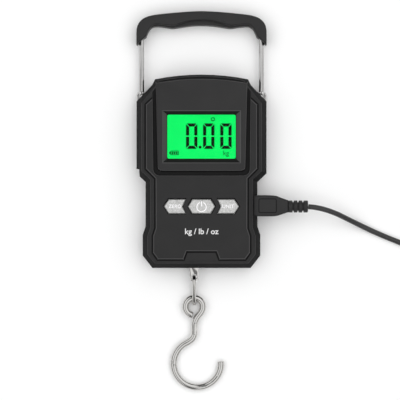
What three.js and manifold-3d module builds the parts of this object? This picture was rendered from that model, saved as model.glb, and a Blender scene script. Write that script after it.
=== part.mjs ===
// Digital hanging scale for fish: a two-part plastic casing with a green display and three keys, a folding
// bail handle, a wire hook on a link, a tape measure in the side and a charging lead in the other side.
//
// Units are millimetres. The scale lies on its back: z = 0 is the back face, +Z points out of the display,
// +Y towards the handle and +X towards the charging socket. The origin is on the back face, halfway along.

import * as THREE from "three";
import { mergeVertices } from "three/addons/utils/BufferGeometryUtils.js";
import Module from "manifold-3d";

const wasm = await Module();
wasm.setup();

// ---------------------------------------------------------------- driving dimensions

const GAP = 0.3; // clearance between touching pieces

const seamZ = 13; // where the casing halves meet
const flankZ = 24.5; // top of the drafted side wall
const ledgeZ = 26.4; // top of the sloped flank
const fieldZ = 27.6; // front plate
const panelZ = 28.8; // display panel, the foremost face
const wall = 2;

const waistX = 37.1; // half widths of the casing
const shoulderX = 43.1;
const rearX = 36.5;
const bottomY = -44;
const crownY = 84.3;

const pivotY = 68.5; // axis of the bail handle
const pivotZ = 7.2;
const rodRadius = 1.5;
const railX = 39.9; // the bail's legs
const railRadius = 1.75;
const eyeRadius = 3.5; // centreline of the eyes on the bail's ends
const barY = 121; // the bail's crossbar, inside the grip
const barBend = 9;
const gripDepth = 2 * pivotZ;

const chainX = -4.9; // tab, link and hook
const tabZ = 10.2;
const tabThickness = 1.6;
const tabHoleY = -49.9;
const linkWire = 1.25; // radii
const linkBend = 3.85;
const linkSpan = 11.7; // between the link's two bend centres
const hookWire = 2.3;
const hookEye = 5.8;
const hookBend = 15.8;
const hookPivotZ = 5.15; // the link's lower bend rests on the surface

const keyY = -3.15;
const keyHeight = 8.9;

const portY = -2.65; // charging socket and plug
const portZ = 16.8;

const tapeY = -3; // tape measure
const tapeWidth = 6.4;
const tapeZ = 3.4; // height of the straight blade
const reelX = 20;
const reelZ = 10.2;
const mouthX = -34.6;

const cordRadius = 1.75; // charging lead
const coilCentre = [166, -19.3];
const coilMean = 19.25;

// ---------------------------------------------------------------- materials

const finish = (color, roughness, metalness = 0) =>
  new THREE.MeshStandardMaterial({ color, roughness, metalness });

const blackShell = finish(0x2b2a2c, 0.62);
const blackPanel = finish(0x38373a, 0.5);
const blackGrip = finish(0x2c2c2e, 0.55);
const silverKey = finish(0xbdbdbd, 0.4, 0.3);
const chrome = finish(0xd8d4cc, 0.15, 1);
const steel = finish(0xb4b4b2, 0.35, 1);
const aluminium = finish(0xc4c6c8, 0.4, 1);
const clear = finish(0xe8f4ec, 0.1);
const displayGreen = finish(0x0aff6e, 0.3);
const whiteDiffuser = finish(0xeeeeee, 0.5);
const boardGreen = finish(0x1d5c33, 0.5);
const blackRubber = finish(0x1b1b1c, 0.75);
const foil = finish(0x9fb2c4, 0.35, 0.4);
const whitePlastic = finish(0xdedcd4, 0.5);
const yellowTape = finish(0xf2d21b, 0.45);
const springSteel = finish(0x5f6670, 0.3, 1);

const scale = new THREE.Group();

function add(name, geometry, material, parent = scale) {
  const mesh = new THREE.Mesh(geometry, material);
  mesh.name = name;
  parent.add(mesh);
  return mesh;
}

// ---------------------------------------------------------------- solids

function toSolid(geometry) {
  const bare = geometry.clone();
  bare.deleteAttribute("normal");
  bare.deleteAttribute("uv");
  const merged = mergeVertices(bare, 1e-4);
  return new wasm.Manifold(
    new wasm.Mesh({
      numProp: 3,
      vertProperties: merged.attributes.position.array,
      triVerts: new Uint32Array(merged.index.array),
    }),
  );
}

function toGeometry(solid) {
  const mesh = solid.getMesh();
  const geometry = new THREE.BufferGeometry();
  geometry.setAttribute("position", new THREE.BufferAttribute(mesh.vertProperties, 3));
  geometry.setIndex(new THREE.BufferAttribute(mesh.triVerts, 1));
  geometry.computeVertexNormals();
  return geometry;
}

const join = (...pieces) => toGeometry(pieces.map(toSolid).reduce((a, b) => a.add(b)));
const cut = (base, ...tools) =>
  toGeometry(tools.map(toSolid).reduce((rest, tool) => rest.subtract(tool), toSolid(base)));

// ---------------------------------------------------------------- outlines and primitive shapes

const vectors = (points) => points.map(([x, y]) => new THREE.Vector2(x, y));

// The right half of a symmetrical outline, from the bottom up, made whole and counterclockwise.
const mirrored = (half) => [
  ...half,
  ...half.filter(([x]) => x > 0).map(([x, y]) => [-x, y]).reverse(),
];

const shifted = (points, dx, dy) => points.map(([x, y]) => [x + dx, y + dy]);

const rectangle = (width, height) =>
  mirrored([[width / 2, -height / 2], [width / 2, height / 2]]);

function arc(cx, cy, radius, fromDegrees, toDegrees, steps) {
  return Array.from({ length: steps + 1 }, (_, i) => {
    const angle = THREE.MathUtils.degToRad(fromDegrees + ((toDegrees - fromDegrees) * i) / steps);
    return [cx + radius * Math.cos(angle), cy + radius * Math.sin(angle)];
  });
}

const circle = (radius, sides) => arc(0, 0, radius, 0, 360 - 360 / sides, sides - 1);

// A counterclockwise outline with every edge moved inwards by a distance.
function inset(points, distance) {
  const inward = ([ax, ay], [bx, by]) => {
    const length = Math.hypot(bx - ax, by - ay);
    return [(ay - by) / length, (bx - ax) / length];
  };
  return points.map((point, i) => {
    const a = inward(points.at(i - 1), point);
    const b = inward(point, points[(i + 1) % points.length]);
    const k = distance / (1 + a[0] * b[0] + a[1] * b[1]);
    return [point[0] + (a[0] + b[0]) * k, point[1] + (a[1] + b[1]) * k];
  });
}

// A flat plate between two heights, its edges chamfered if a bevel is given.
function plate(points, z0, z1, bevel = 0) {
  return new THREE.ExtrudeGeometry(new THREE.Shape(vectors(points)), {
    depth: z1 - z0 - 2 * bevel,
    bevelEnabled: bevel > 0,
    bevelThickness: bevel,
    bevelSize: bevel,
    bevelOffset: -bevel,
    bevelSegments: 1,
  }).translate(0, 0, z0 + bevel);
}

// A block between two outlines with the same number of corners.
function drafted(lower, upper, z0, z1) {
  const n = lower.length;
  const vertices = [...lower.map(([x, y]) => [x, y, z0]), ...upper.map(([x, y]) => [x, y, z1])];
  const faces = THREE.ShapeUtils.triangulateShape(vectors(lower), [])
    .flatMap(([a, b, c]) => [c, b, a, a + n, b + n, c + n]);
  for (let i = 0; i < n; i++) {
    const j = (i + 1) % n;
    faces.push(i, j, j + n, i, j + n, i + n);
  }
  const geometry = new THREE.BufferGeometry();
  geometry.setAttribute("position", new THREE.Float32BufferAttribute(vertices.flat(), 3));
  geometry.setIndex(faces);
  return geometry;
}

function box([x0, x1], [y0, y1], [z0, z1]) {
  return new THREE.BoxGeometry(x1 - x0, y1 - y0, z1 - z0)
    .translate((x0 + x1) / 2, (y0 + y1) / 2, (z0 + z1) / 2);
}

// Cylinders along each axis, between two stations.
const post = (x, y, radius, z0, z1, sides = 12) =>
  plate(shifted(circle(radius, sides), x, y), z0, z1);
const shaftX = (y, z, radius, x0, x1, sides = 12) =>
  new THREE.CylinderGeometry(radius, radius, x1 - x0, sides)
    .rotateZ(Math.PI / 2).translate((x0 + x1) / 2, y, z);
const shaftY = (x, z, radius, y0, y1, sides = 12) =>
  new THREE.CylinderGeometry(radius, radius, y1 - y0, sides).translate(x, (y0 + y1) / 2, z);

// A closed profile of radius and height, turned about the Y axis.
const turned = (profile, sides = 16) =>
  new THREE.LatheGeometry(vectors(profile), sides);

// A round wire along a curve.
function wire(points, radius, steps, sides) {
  const path = new THREE.CatmullRomCurve3(
    points.map(([x, y, z = 0]) => new THREE.Vector3(x, y, z)), false, "centripetal");
  const section = new THREE.Shape(vectors(circle(radius, sides)));
  return new THREE.ExtrudeGeometry(section, { steps, extrudePath: path, bevelEnabled: false });
}

// ---------------------------------------------------------------- casing

// Half of the crown's low arch, from the corner inwards.
const arch = (halfWidth, topY, drop) =>
  [1, 0.75, 0.5, 0.25, 0].map((t) => [halfWidth * t, topY - drop * t * t]);

const casingOutline = mirrored([
  [32.6, bottomY], [39, -35.8], [39, -22], [waistX, -16.4], [waistX, 13], [shoulderX, 18.7],
  [shoulderX, 66.5], [32.7, 77.4], ...arch(30.9, crownY, 3.1),
]);

// The casing's outline drawn in by one distance at the sides and by another at the crown.
const casingInset = (side, crown) =>
  inset(casingOutline, side).map(([x, y]) => [x, y > 70 ? y + side - crown : y]);

const fieldOutline = mirrored([
  [9.8, -32.7], [11.8, -38], [28.7, -38], [31.9, -33.5], [31.9, -22.6], [30.2, -17.4],
  [30.3, 15.2], [36.6, 21.6], [36.6, 63.8], [32, 68.1],
]);

// The screen panel's outline, and the pocket that leaves a groove around it.
const panelOutline = mirrored([
  ...arc(25.9, 22.6, 3, -90, 0, 3), ...arch(30.2, 81.3, 2.9),
]);
const pocketOutline = mirrored([...arc(27.7, 21.1, 4, -90, 0, 3), [32.3, 77], [32.3, 90]]);

const screenOutline = shifted(rectangle(45.6, 29.4), 0, 42.75);
const bezelOutline = shifted(rectangle(51, 33.8), 0, 42.5);

// Key outlines: a hexagon in the middle, and arrow shapes pointing outwards beside it.
const keyHalf = keyHeight / 2;
const middleKey = [
  [5.9, -keyHalf], [8.6, 0], [5.9, keyHalf], [-5.9, keyHalf], [-8.6, 0], [-5.9, -keyHalf],
];
const rightKey = [
  [10.8, -keyHalf], [21.4, -keyHalf], [24.4, 0], [21.4, keyHalf], [10.8, keyHalf], [12.8, 0],
];
const keys = {
  left: rightKey.map(([x, y]) => [-x, y]).reverse(),
  middle: middleKey,
  right: rightKey,
};

const screwPlaces = [[31, 57], [-31, 57], [28, -31], [-28, -31]];

function frontShell() {
  const body = join(
    drafted(casingOutline, casingInset(3.4, 1.5), seamZ, flankZ),
    drafted(casingInset(3.4, 1.5), casingInset(5.6, 2.6), flankZ, ledgeZ),
    plate(fieldOutline, flankZ, fieldZ, 0.5),
  );
  const hollow = drafted(inset(casingOutline, wall), casingInset(5.4, 3.6), seamZ - 1, 24.4);
  const shell = cut(
    body,
    hollow,
    plate(pocketOutline, 25.9, 31),
    box([-26.4, 26.4], [25.2, 60.6], [20, 31]),
    box([-46, -41.1], [10, 21.6], [seamZ - 1, 28]),
  );
  const bosses = screwPlaces.map(([x, y]) => post(x, y, 3.2, seamZ, 25));
  return cut(
    join(shell, ...bosses),
    ...screwPlaces.map(([x, y]) => post(x, y, 1.4, seamZ - 1, 21, 8)),
    ...Object.values(keys).map((key) => plate(shifted(inset(key, -0.4), 0, keyY), 20, 31)),
    box([30, 40], [portY - 4.3, portY + 4.3], [portZ - 1.8, portZ + 1.8]),
  );
}

const rearOutline = mirrored([
  [32.3, bottomY + 0.6], [38.4, -35.6], [38.4, -22.1], [rearX, -16.5], [rearX, 72.6],
  [32.3, 77], ...arch(30.4, crownY - 0.6, 3.1),
]);

function rearShell() {
  const rim = seamZ - GAP;
  const body = join(
    drafted(inset(rearOutline, 1.5), rearOutline, 0, 1.5),
    plate(rearOutline, 1.5, rim),
    ...[-1, 1].map((side) =>
      shaftX(pivotY, pivotZ, 4.5, side > 0 ? 35 : -37.85, side > 0 ? 37.85 : -35, 16)),
  );
  const shell = cut(body, plate(inset(rearOutline, wall), wall, rim + 1));
  const inner = [
    ...screwPlaces.map(([x, y]) => post(x, y, 4.3, 1, rim)),
    box([-35, -31.5], [tapeY - 6.5, tapeY + 6.5], [1, 9]),
    ...[-10, 8.2].map((y) => box([reelX - 3, reelX + 3], [y, y + 1.8], [1, rim])),
  ];
  return cut(
    join(shell, ...inner),
    ...screwPlaces.map(([x, y]) => post(x, y, 1.4, -1, rim + 1, 8)),
    ...screwPlaces.map(([x, y]) => post(x, y, 3, -1, 2.4)),
    shaftX(pivotY, pivotZ, rodRadius + GAP, -40, 40),
    shaftY(reelX, reelZ, 1.3 + GAP, -11, 11, 10),
    box([-38, mouthX + 0.3], [tapeY - 5, tapeY + 5], [-1, 8]),
    box([-36, -30], [tapeY - 3.6, tapeY + 3.6], [wall, 4.8]),
    box([chainX - 3.3, chainX + 3.3], [bottomY - 1, -40], [tabZ - 1.2, tabZ + 1.2]),
  );
}

add("front_shell", frontShell(), blackShell);
add("rear_shell", rearShell(), blackShell);

screwPlaces.forEach(([x, y], i) => {
  const profile = [[0, 0.6], [2.4, 0.6], [2.6, 1], [2.6, 2.1], [1, 2.3], [1, 19], [0, 19.4]];
  const screw = turned(profile, 12).rotateX(Math.PI / 2);
  add(`case_screw_${i + 1}`, screw.translate(x, y, 0), steel);
});

// ---------------------------------------------------------------- display

add(
  "display_panel",
  cut(
    drafted(panelOutline, inset(panelOutline, 0.8), 26.2, panelZ),
    drafted(inset(screenOutline, 0.2), inset(bezelOutline, -0.3), 26, panelZ + 0.2),
  ),
  blackPanel,
);
add("display_window", plate(shifted(rectangle(52.2, 34.8), 0, 42.9), 24.9, 25.9), clear);
add("display_glass", plate(shifted(rectangle(50, 33), 0, 42.75), 23.6, 24.6), displayGreen);
add("backlight", plate(shifted(rectangle(50, 33), 0, 42.75), 20.5, 23.3), whiteDiffuser);

// ---------------------------------------------------------------- keys, board and battery

const boardOutline = mirrored([[30, -13], [30, 14], [27.4, 18], [27.4, 62]]);
add("circuit_board", plate(boardOutline, 18.6, 20.2), boardGreen);

const keyCentres = { left: -17, middle: 0, right: 17 };
for (const [name, outline] of Object.entries(keys)) {
  const cap = plate(shifted(outline, 0, keyY), 23.2, 28.4, 0.4);
  const flange = plate(shifted(inset(outline, -1.2), 0, keyY), 23.1, 24.1);
  add(`key_${name}`, join(cap, flange), silverKey);
  const x = keyCentres[name];
  add(
    `switch_${name}`,
    join(
      box([x - 3, x + 3], [keyY - 3, keyY + 3], [20.5, 21.6]),
      post(x, keyY, 1.5, 21.4, 22, 10),
    ),
    steel,
  );
}

add("battery_cell", plate(shifted(rectangle(50, 34), 0, 41), 2.6, 8.8, 1), foil);
add("radio_module", box([11, 23], [30, 46], [16.4, 18.3]), steel);

// ---------------------------------------------------------------- load path: rod, hanger, cell and tab

add("pivot_rod", shaftX(pivotY, pivotZ, rodRadius, -41.65, 41.65), steel);
for (const [name, side] of [["left", -1], ["right", 1]]) {
  const dome = [[0, 0], [4.4, 0], [4.4, 0.5], [3.8, 1.2], [2.4, 1.75], [0, 1.95]];
  const cap = turned(dome).rotateZ((-side * Math.PI) / 2);
  add(`pivot_cap_${name}`, cap.translate(side * 41.95, pivotY, pivotZ), chrome);
}

const tabBottom = tabZ - tabThickness / 2;
const tabTop = tabZ + tabThickness / 2;
const cellZ = [tabTop + GAP, 18.3];
const cellScrews = [8, 17, -22, -32];

add(
  "load_hanger",
  cut(
    join(
      box([chainX - 6.5, chainX + 6.5], [4, pivotY], [tabBottom, tabTop]),
      shaftX(pivotY, pivotZ, 4, chainX - 6.5, chainX + 6.5, 16),
    ),
    shaftX(pivotY, pivotZ, rodRadius + GAP, chainX - 8, chainX + 8),
    ...cellScrews.slice(0, 2).map((y) => post(chainX, y, 1.8, 5, 13, 10)),
  ),
  steel,
);
add(
  "load_cell",
  cut(
    box([chainX - 6.5, chainX + 6.5], [-37, 22], cellZ),
    ...cellScrews.map((y) => post(chainX, y, 1.8, 5, 17, 10)),
    ...[-10.5, -3.5].map((y) => shaftX(y, 14.8, 2.4, chainX - 8, chainX + 8)),
    box([chainX - 8, chainX + 8], [-10.5, -3.5], [13.9, 15.7]),
  ),
  aluminium,
);
add("strain_gauge", box([chainX - 3, chainX + 3], [-11, -3], [10.7, tabTop]), yellowTape);

// The tab is narrow where it comes out of the casing and wide where it is screwed to the cell.
const tabOutline = mirrored([
  ...arc(1.1, -51.1, 1.8, -90, 0, 3), [2.9, -41.5], [5.5, -38], [5.5, -17],
]);
add(
  "pull_tab",
  cut(
    plate(shifted(tabOutline, chainX, 0), tabBottom, tabTop),
    post(chainX, tabHoleY, 1.8, 5, 13, 16),
    ...cellScrews.slice(2).map((y) => post(chainX, y, 1.8, 5, 13, 10)),
  ),
  steel,
);
cellScrews.forEach((y, i) => {
  const profile = [
    [0, 7.4], [2.7, 7.4], [2.9, 7.8], [2.9, 9.1], [1.4, 9.1], [1.4, 16.3], [0, 16.6],
  ];
  const screw = turned(profile, 10).rotateX(Math.PI / 2);
  add(`cell_screw_${i + 1}`, screw.translate(chainX, y, 0), steel);
});

// ---------------------------------------------------------------- bail handle

const barStart = railX - barBend;
const cornerY = barY - barBend;

function handleWire(radius) {
  const pieces = [-1, 1].flatMap((side) => {
    const bend = arc(side * barStart, cornerY, barBend, side > 0 ? 0 : 180, 90, 6);
    return [
      shaftY(side * railX, 0, radius, pivotY + eyeRadius, cornerY + 0.05),
      wire(bend, radius, 6, 12),
    ];
  });
  return [...pieces, shaftX(barY, 0, radius, -barStart - 0.05, barStart + 0.05)]
    .map((piece) => piece.translate(0, 0, pivotZ));
}

const eyes = [-1, 1].map((side) =>
  new THREE.TorusGeometry(eyeRadius, railRadius, 10, 16)
    .rotateY(Math.PI / 2).translate(side * railX, pivotY, pivotZ));
add("handle_wire", join(...handleWire(railRadius), ...eyes), chrome);

// The grip: a low arch on top, a diagonal end on each leg and a finger rest below.
const gripHalfTop = [
  [0, 126.4], [15.2, 125.6], [28.3, 124.3], [34.5, 123.2], [38.6, 121.5], [41.3, 119],
  [42.7, 116], [43.2, 112.5], [43.2, 104.2],
];
const gripHalfBottom = [
  [36.8, 109.6], [35.5, 112.8], [33.9, 115.2], [30.9, 116.6], [25, 116.2], [19.3, 115.4],
  [13.5, 116.2], [7, 117.1], [0, 117.4],
];
const gripOutline = mirrored([...gripHalfTop, ...gripHalfBottom].reverse());
const fingerRest = mirrored([
  [19.3, 114], [19.3, 116.2], [15.2, 117.4], [10.6, 119], [6, 120], [0, 120.3],
]);

const channel = handleWire(railRadius + GAP);
const gripSeam = gripDepth / 2;
const gripChamfer = 1.2;
const restZ = 11; // floor of the finger rest
const backHalf = plate(gripOutline, 0, gripSeam - GAP / 2, gripChamfer);
const frontHalf = plate(gripOutline, gripSeam + GAP / 2, gripDepth, gripChamfer);
add("grip_back", cut(backHalf, ...channel), blackGrip);
add("grip_front", cut(frontHalf, plate(fingerRest, restZ, gripDepth + 1), ...channel), blackGrip);

// ---------------------------------------------------------------- link and hook

const upperBendY = tabHoleY - linkBend;
const hookPivotY = upperBendY - Math.sqrt(linkSpan ** 2 - (tabZ - hookPivotZ) ** 2);

const linkGroup = new THREE.Group();
linkGroup.position.set(chainX, upperBendY, tabZ);
linkGroup.rotation.x = Math.asin((tabZ - hookPivotZ) / linkSpan);
scale.add(linkGroup);

// The link is a closed loop in its YZ plane, made of two bends joined halfway along its sides.
function linkHalf(side) {
  const centre = side > 0 ? 0 : -linkSpan;
  const bend = arc(0, 0, linkBend, 0, 180, 8).map(([x, y]) => [0, centre + side * y, x]);
  const middle = -linkSpan / 2 - side * 0.05;
  return wire([[0, middle, linkBend], ...bend, [0, middle, -linkBend]], linkWire, 14, 8);
}
add("hook_link", join(linkHalf(1), linkHalf(-1)), chrome, linkGroup);

const hookCentreY = -108.3 - hookPivotY;
const hookBottomY = hookCentreY - hookBend;
const hookGroup = new THREE.Group();
hookGroup.position.set(chainX, hookPivotY, hookPivotZ);
hookGroup.rotation.x = Math.asin((hookPivotZ - hookWire) / -hookBottomY);
scale.add(hookGroup);

// From the cut end of the eye, round it, across to the shank, and round the hook to its tip.
const hookPath = [
  ...arc(0, -hookEye, hookEye, -112, -370, 14),
  [3.2, -11], [1.1, -14.2], [0.3, -17], [0.2, -21], [0.1, -24],
  [-0.9, -26.8], [-3.6, -29.2],
  ...arc(2.1, hookCentreY, hookBend, 125, 366, 22),
];
add("hook", wire(hookPath, hookWire, 52, 10), chrome, hookGroup);

// ---------------------------------------------------------------- tape measure

// Reel with a flanged drum for the blade and an open cup for the return spring.
const reelProfile = [
  [1.6, -4.2], [7.4, -4.2], [7.4, -3.6], [4, -3.6], [4, 3.6], [7.4, 3.6],
  [7.4, 10.4], [6.8, 10.4], [6.8, 4.2], [1.6, 4.2], [1.6, -4.2],
];
const ring = (inner, outer, y0, y1, sides = 20) =>
  turned([[inner, y0], [outer, y0], [outer, y1], [inner, y1], [inner, y0]], sides);
const atReel = (geometry) => geometry.translate(reelX, tapeY, reelZ);

add("tape_reel", atReel(turned(reelProfile, 20)), whitePlastic);
add("tape_roll", atReel(ring(4.3, 6.3, -3.2, 3.2)), yellowTape);
add("tape_spring", atReel(ring(2.3, 6.4, 4.6, 10)), springSteel);
add("tape_axle", shaftY(reelX, reelZ, 1.3, -9.8, 9.8, 10), steel);

const rivetX = [-33, -30.2];
const rivetHoles = () => rivetX.map((x) => post(x, tapeY, 1, 1, 6, 8));
add(
  "tape_blade",
  cut(
    box([mouthX, reelX], [tapeY - tapeWidth / 2, tapeY + tapeWidth / 2], [tapeZ - 0.2, tapeZ + 0.2]),
    ...rivetHoles(),
  ),
  yellowTape,
);
add(
  "tape_end_hook",
  cut(
    join(
      box([mouthX - 0.8, mouthX - 0.3], [tapeY - 3.3, tapeY + 3.3], [0.6, 6.6]),
      box([mouthX - 0.5, -28.6], [tapeY - 2.8, tapeY + 2.8], [2.3, 2.9]),
    ),
    ...rivetHoles(),
  ),
  steel,
);
rivetX.forEach((x, i) => {
  const profile = [[0, 2.4], [0.7, 2.4], [0.7, 3.9], [1.3, 3.9], [1, 4.3], [0, 4.5]];
  const rivet = turned(profile, 10).rotateX(Math.PI / 2);
  add(`tape_rivet_${i + 1}`, rivet.translate(x, tapeY, 0), steel);
});

// ---------------------------------------------------------------- charging socket and lead

// A block along X through the port, of a given width and height.
const alongPort = (width, height, x0, x1) =>
  box([x0, x1], [portY - width / 2, portY + width / 2], [portZ - height / 2, portZ + height / 2]);

add("usb_socket", cut(alongPort(7.9, 3, 28.9, 34.6), alongPort(7.3, 2.4, 29.5, 36)), steel);
add("usb_plug_shell", alongPort(6.7, 1.7, 30.4, 35), steel);

// The overmould's end follows the drafted side of the casing, a gap away.
const overmouldOutline = [
  [33, -9.5], [49.8, -9.6], [53.5, -8.6], [57.1, -6.4], [57.1, 0], [53, 2.6], [49.8, 4], [33, 4.2],
];
const besideCasing = inset(casingOutline, -GAP);
add(
  "usb_overmould",
  cut(
    plate(overmouldOutline, portZ - 4, portZ + 4, 1.2),
    plate(besideCasing, 10, seamZ + 0.01),
    drafted(besideCasing, inset(casingInset(3.4, 1.5), -GAP), seamZ, flankZ),
    alongPort(7.3, 2.3, 30, 35.3),
  ),
  blackRubber,
);

// The strain relief's ribs, as radius against distance from the overmould.
function reliefProfile(length, radius, ribs) {
  const pitch = length / ribs;
  const core = radius - 0.9;
  const profile = [[0, 0], [radius, 0], [radius, pitch - 0.9]];
  for (let rib = 1; rib < ribs; rib++) {
    const start = rib * pitch;
    profile.push([core, start - 0.7], [core, start + 0.2]);
    profile.push([radius, start + 0.5], [radius, start + pitch - 0.9]);
  }
  return [...profile, [radius - 1, length], [0, length]];
}
const reliefY = -3.2;
add(
  "usb_relief",
  turned(reliefProfile(12.9, 4, 4), 12).rotateZ(-Math.PI / 2).translate(57.4, reliefY, portZ),
  blackRubber,
);

// The lead leaves the relief level, comes down to the surface, and runs to its coil.
const cordRoute = [
  [70.6, -3.3, 16.8], [75, -3.8, 16.7], [80, -4.8, 16.1], [85, -6.3, 14.8], [90, -8.2, 12.7],
  [95, -10.5, 10], [100, -12.9, 7.2], [105, -15.3, 4.8], [110, -17.7, 3], [115, -20, 2.1],
  [120, -22.2, 1.8], [126, -24.7, 1.75], [132, -27.1, 1.75], [138, -29.7, 1.75], [142, -31.7, 1.75],
];
add("usb_cord", wire(cordRoute, cordRadius - 0.01, 15, 8), blackRubber);

// The coil: two layers of three turns.
const [coilX, coilY] = coilCentre;
const coilInner = coilMean - 3 * cordRadius;
const coilOuter = coilMean + 3 * cordRadius;
const coilTop = 4 * cordRadius;
add(
  "usb_coil",
  ring(coilInner, coilOuter, 0, coilTop, 24).rotateX(Math.PI / 2).translate(coilX, coilY, 0),
  blackRubber,
);

// The tie straddles the coil at its lower edge: a strap over the turns, with a leg on each side.
const tieOutside = [coilY - coilOuter - 1, coilY - coilInner + 1];
const tieInside = [coilY - coilOuter - 0.4, coilY - coilInner + 0.4];
add(
  "coil_tie",
  cut(
    box([coilX - 3, coilX + 3], tieOutside, [0.3, coilTop + 1]),
    box([coilX - 4, coilX + 4], tieInside, [-1, coilTop + 0.4]),
  ),
  blackRubber,
);

const tailX = coilX + coilMean + 2 * cordRadius;
add(
  "usb_tail",
  wire([[tailX, -5.6, 5], [tailX, -2, 4.6], [tailX, 1.7, 4.2]], cordRadius - 0.01, 4, 8),
  blackRubber,
);
add(
  "plug_a_relief",
  turned(reliefProfile(10, 3.2, 3), 12).translate(tailX, 2, 4.2),
  blackRubber,
);
const plugOutline = shifted(mirrored([[5.5, 0], [7.8, 3], [7.8, 22]]), tailX, 12.3);
add("plug_a_overmould", plate(plugOutline, 0.2, 8.2, 1), blackRubber);
add("plug_a_shell", box([tailX - 6, tailX + 6], [34.6, 46.6], [1.95, 6.45]), steel);

export default scale;
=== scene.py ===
import math

import bmesh
import bpy
from mathutils import Matrix, Vector


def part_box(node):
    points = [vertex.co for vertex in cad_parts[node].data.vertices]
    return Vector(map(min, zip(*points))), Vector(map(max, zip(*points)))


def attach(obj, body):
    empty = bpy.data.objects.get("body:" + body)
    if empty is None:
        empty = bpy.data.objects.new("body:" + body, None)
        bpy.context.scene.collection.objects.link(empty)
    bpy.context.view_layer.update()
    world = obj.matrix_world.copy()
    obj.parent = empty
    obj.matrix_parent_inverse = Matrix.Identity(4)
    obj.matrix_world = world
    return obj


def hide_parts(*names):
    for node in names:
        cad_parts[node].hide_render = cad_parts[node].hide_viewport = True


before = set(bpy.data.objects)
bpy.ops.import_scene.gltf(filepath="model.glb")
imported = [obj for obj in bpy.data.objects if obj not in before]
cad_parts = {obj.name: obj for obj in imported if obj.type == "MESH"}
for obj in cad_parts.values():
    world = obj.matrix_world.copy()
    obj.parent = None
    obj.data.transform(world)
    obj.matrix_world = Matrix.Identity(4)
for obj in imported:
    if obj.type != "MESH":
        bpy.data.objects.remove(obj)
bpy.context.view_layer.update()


# ---------------------------------------------------------------- table, light and camera
# The scale lies on its back on a white table, seen from straight above through a long lens. A wide lamp
# hangs over it. The room is bright at table height, a dark band runs round it above that, and the
# ceiling is white but for a dim strip just left of its middle, so that bright metal has dark outlines.

MM = 0.001
scene = bpy.context.scene
scene.view_settings.view_transform = "Standard"
bpy.ops.object.select_all(action="DESELECT")


class Flow:
    """One socket of a shader's nodes. Arithmetic on it adds Math nodes, and node() adds any other node."""

    def __init__(self, tree, socket=None):
        self.tree = tree
        self.socket = socket

    def node(self, kind, settings=None, sockets=None, out=0):
        made = self.tree.nodes.new("ShaderNode" + kind)
        for name, value in (settings or {}).items():
            if name == "stops":
                stops = made.color_ramp.elements
                for i, (place, shade) in enumerate(value):
                    stop = stops[i] if i < 2 else stops.new(place)
                    stop.position = place
                    stop.color = (shade, shade, shade, 1)
            else:
                setattr(made, name, value)
        for name, value in (sockets or {}).items():
            if isinstance(value, Flow):
                self.tree.links.new(value.socket, made.inputs[name])
            else:
                made.inputs[name].default_value = value
        return Flow(self.tree, made.outputs[out])

    def maths(self, operation, *values):
        return self.node("Math", {"operation": operation}, dict(enumerate(values)))

    def feed(self, shader, name):
        self.tree.links.new(self.socket, shader.inputs[name])

    def __add__(self, other):
        return self.maths("ADD", self, other)

    def __sub__(self, other):
        return self.maths("SUBTRACT", self, other)

    def __rsub__(self, other):
        return self.maths("SUBTRACT", other, self)

    def __mul__(self, other):
        return self.maths("MULTIPLY", self, other)

    def __lt__(self, other):
        return self.maths("LESS_THAN", self, other)

    __radd__ = __add__
    __rmul__ = __mul__


def new_finish(name, colour, roughness, metallic=0.0):
    """A new material, its shader, and the flow that its nodes start from."""
    material = bpy.data.materials.new(name)
    material.use_nodes = True
    shader = material.node_tree.nodes["Principled BSDF"]
    shader.inputs["Base Color"].default_value = (*colour, 1)
    shader.inputs["Roughness"].default_value = roughness
    shader.inputs["Metallic"].default_value = metallic
    return material, shader, Flow(material.node_tree)


def mixed(start, share, first, second):
    """A colour part of the way from one to another."""
    first, second = [(*c, 1) if isinstance(c, tuple) else c for c in (first, second)]
    return start.node("Mix", {"data_type": "RGBA"}, {0: share, 6: first, 7: second}, out=2)


room = bpy.data.worlds.new("studio")
scene.world = room
room.use_nodes = True
start = Flow(room.node_tree)
heading = start.node("TexCoord", out="Generated")
sideways = start.node("SeparateXYZ", sockets={0: heading}, out=0)
upward = start.node("SeparateXYZ", sockets={0: heading}, out=2)
HAZE, DARK_BAND, DIM_STRIP = 0.85, 0.1, 0.22
ring = start.node("ValToRGB", {"stops": [(0.11, HAZE), (0.56, 1), (0.15, DARK_BAND), (0.48, DARK_BAND)]},
                  {0: upward})
strip = start.node("ValToRGB", {"stops": [(0.34, 1), (0.52, 1), (0.37, DIM_STRIP), (0.47, DIM_STRIP)]},
                   {0: sideways * 0.5 + 0.5})
ceiling = start.node("ValToRGB", {"stops": [(0.12, 0), (0.2, 1)]}, {0: upward})
(ring * (1 - ceiling * (1 - strip))).feed(room.node_tree.nodes["Background"], "Color")
room.node_tree.nodes["Background"].inputs["Strength"].default_value = 1.0

bpy.ops.object.light_add(type="AREA", location=(0, 0.15, 1.5))
overhead = bpy.context.object
overhead.data.shape = "DISK"
overhead.data.size = 2.2
overhead.data.energy = 17
overhead.visible_glossy = False

bpy.ops.mesh.primitive_plane_add(size=4, location=(0, 0, -0.02 * MM))
table = bpy.context.object
table.name = "table"
white, shader, start = new_finish("table_white", (0.9, 0.9, 0.9), 0.8)
shader.inputs["Specular IOR Level"].default_value = 0.1
table.data.materials.append(white)

LENS, SENSOR = 180, 36
SEEN_ACROSS, AIM_X, AIM_Y, AIM_Z = 264, -1.0, 1.1, 20
camera_z = AIM_Z + SEEN_ACROSS * LENS / SENSOR
bpy.ops.object.camera_add(location=Vector((AIM_X, AIM_Y, camera_z)) * MM)
camera = bpy.context.object
camera.data.lens = LENS
scene.camera = camera


# ---------------------------------------------------------------- casing, back half
# An injection-moulded tray in black ABS with a fine spark-eroded grain. It holds the battery, the load cell
# and the tape reel, and four self-tapping screws in deep wells pull it to the front half.


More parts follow.
